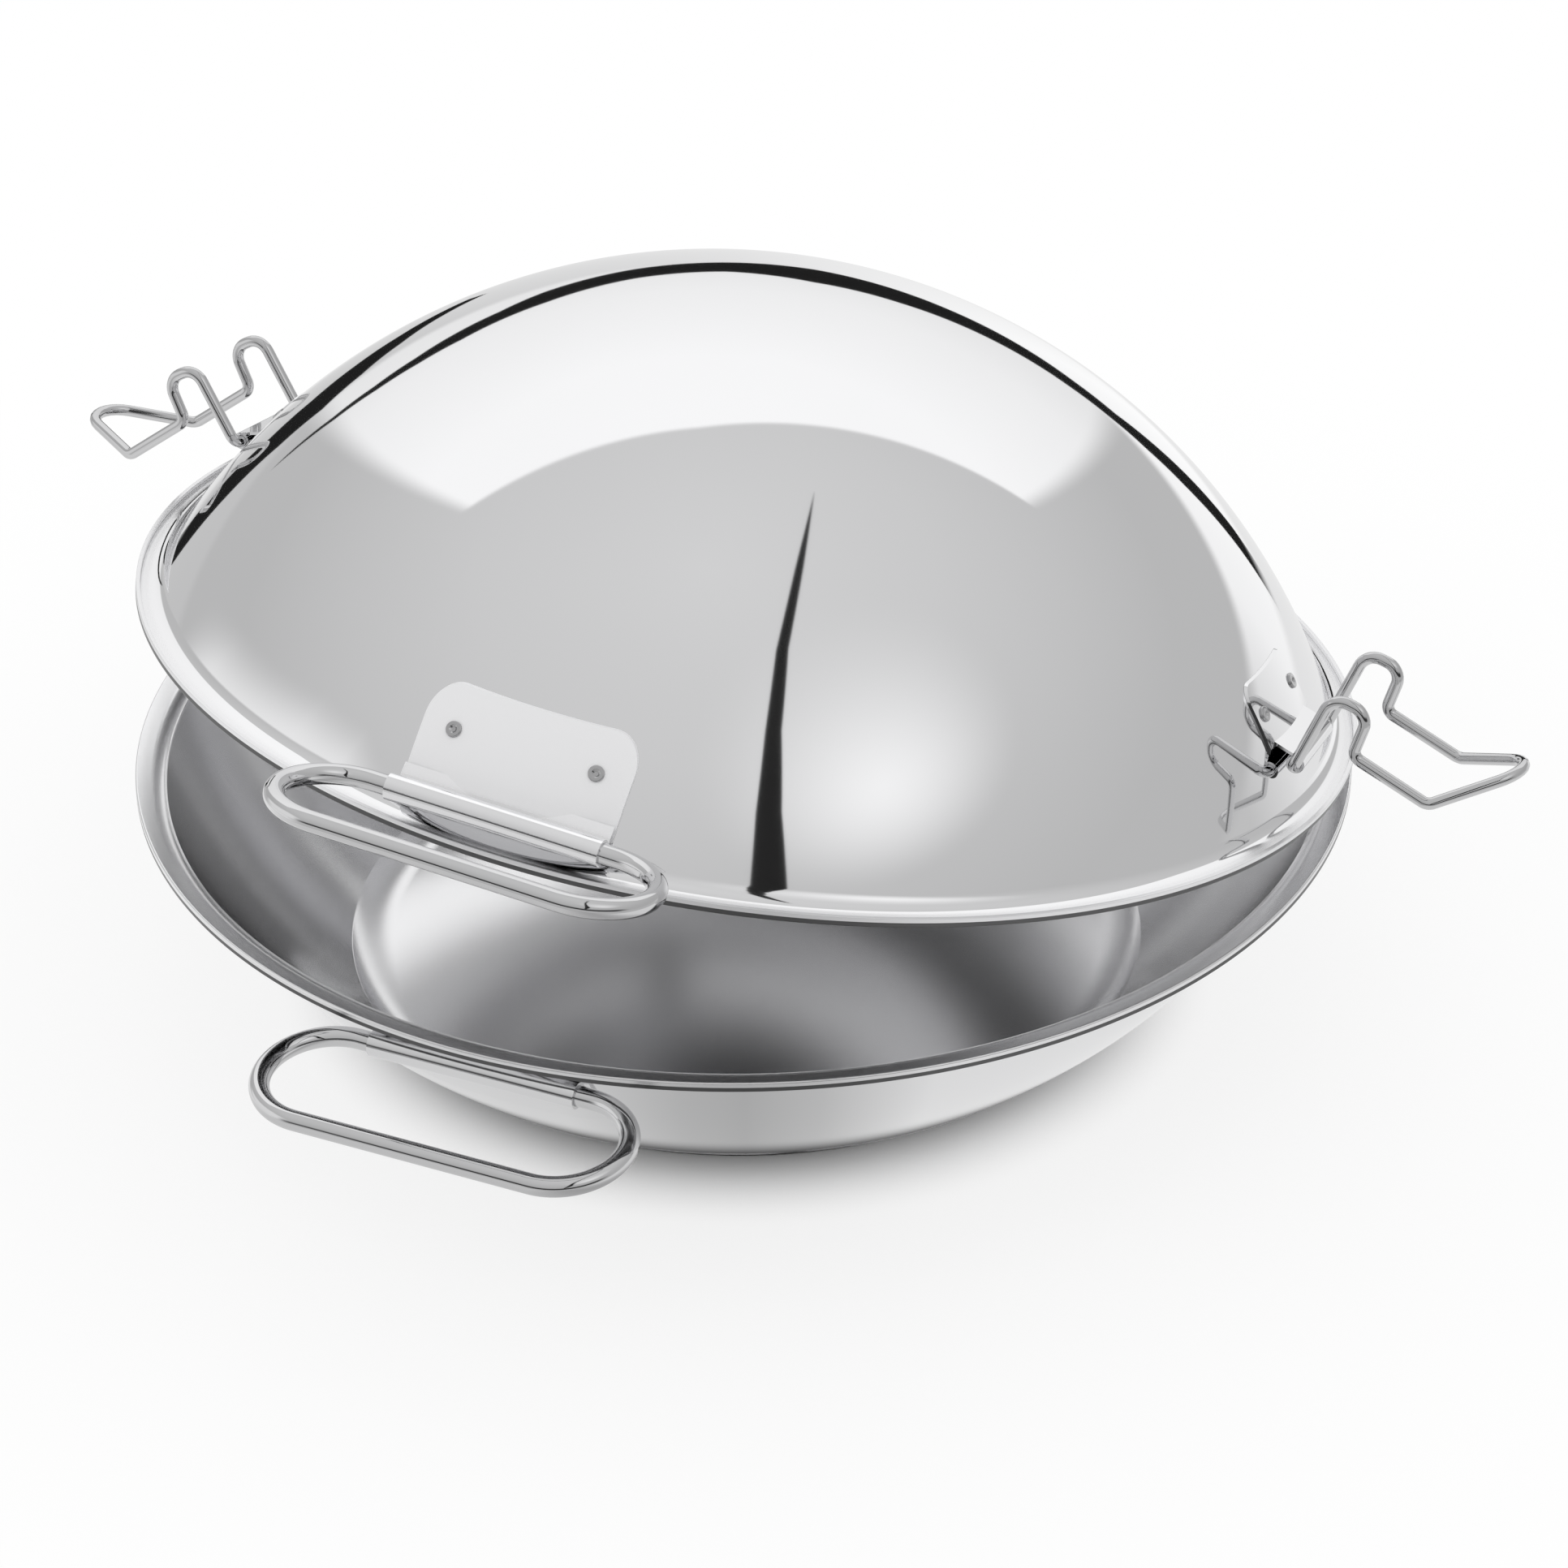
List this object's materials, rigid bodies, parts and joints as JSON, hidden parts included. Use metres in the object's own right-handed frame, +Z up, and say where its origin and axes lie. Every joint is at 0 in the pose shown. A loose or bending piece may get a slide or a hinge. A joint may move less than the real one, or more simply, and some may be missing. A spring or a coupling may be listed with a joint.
{
  "type": "cataplana",
  "caption": "Clam-shaped steel steamer: round pan with a flat base and a domed lid of the same rim, loop handles front and back, and a wire closing clip on each side of the lid.",
  "frame": {"origin": "centre of the base's underside", "axes": "+Z up; the front handles are at -Y and the closing clips at +X (right) and -X (left)"},
  "size_m": [0.386, 0.359, 0.1807],
  "materials": {
    "mirror_steel": "mirror-polished stainless steel",
    "satin_steel": "satin inside, polished outside",
    "brushed_steel": "turned, satin",
    "aluminium": "plain, enclosed",
    "wire_steel": "polished drawn wire",
    "plate_steel": "fine satin sheet",
    "rivet_steel": "plain, dimpled head"
  },
  "bodies": {
    "pan": {"pan_shell": "satin_steel", "base_core": "aluminium", "base_cap": "brushed_steel", "pan_front_loop": "wire_steel", "pan_back_loop": "wire_steel", "pan_front_plate": "plate_steel", "pan_back_plate": "plate_steel", "pan_front_rivets": "rivet_steel", "pan_back_rivets": "rivet_steel"},
    "lid": {"lid_shell": "mirror_steel", "lid_front_loop": "wire_steel", "lid_back_loop": "wire_steel", "lid_front_plate": "plate_steel", "lid_back_plate": "plate_steel", "lid_front_rivets": "rivet_steel", "lid_back_rivets": "rivet_steel", "clip_right_plate": "plate_steel", "clip_left_plate": "plate_steel", "clip_right_rivets": "rivet_steel", "clip_left_rivets": "rivet_steel"},
    "clip_right": {"clip_right_wire": "wire_steel"},
    "clip_left": {"clip_left_wire": "wire_steel"}
  },
  "joints": [
    {"name": "lid_open", "type": "hinge", "parent": "pan", "child": "lid", "pos_m": [0.07859, 0.12952, 0.0625], "axis": [-0.8549, 0.5188, 0], "range_deg": [-10.1, 34.9]},
    {"name": "clip_right_swing", "type": "hinge", "parent": "lid", "child": "clip_right", "pos_m": [0.14326, 0.00706, 0.08868], "axis": [-0.0355, 0.9885, -0.1472], "range_deg": [-54, 70]},
    {"name": "clip_left_swing", "type": "hinge", "parent": "lid", "child": "clip_left", "pos_m": [-0.13821, 0.01473, 0.11352], "axis": [-0.0626, -0.9858, 0.1559], "range_deg": [-77, 50]}
  ]
}
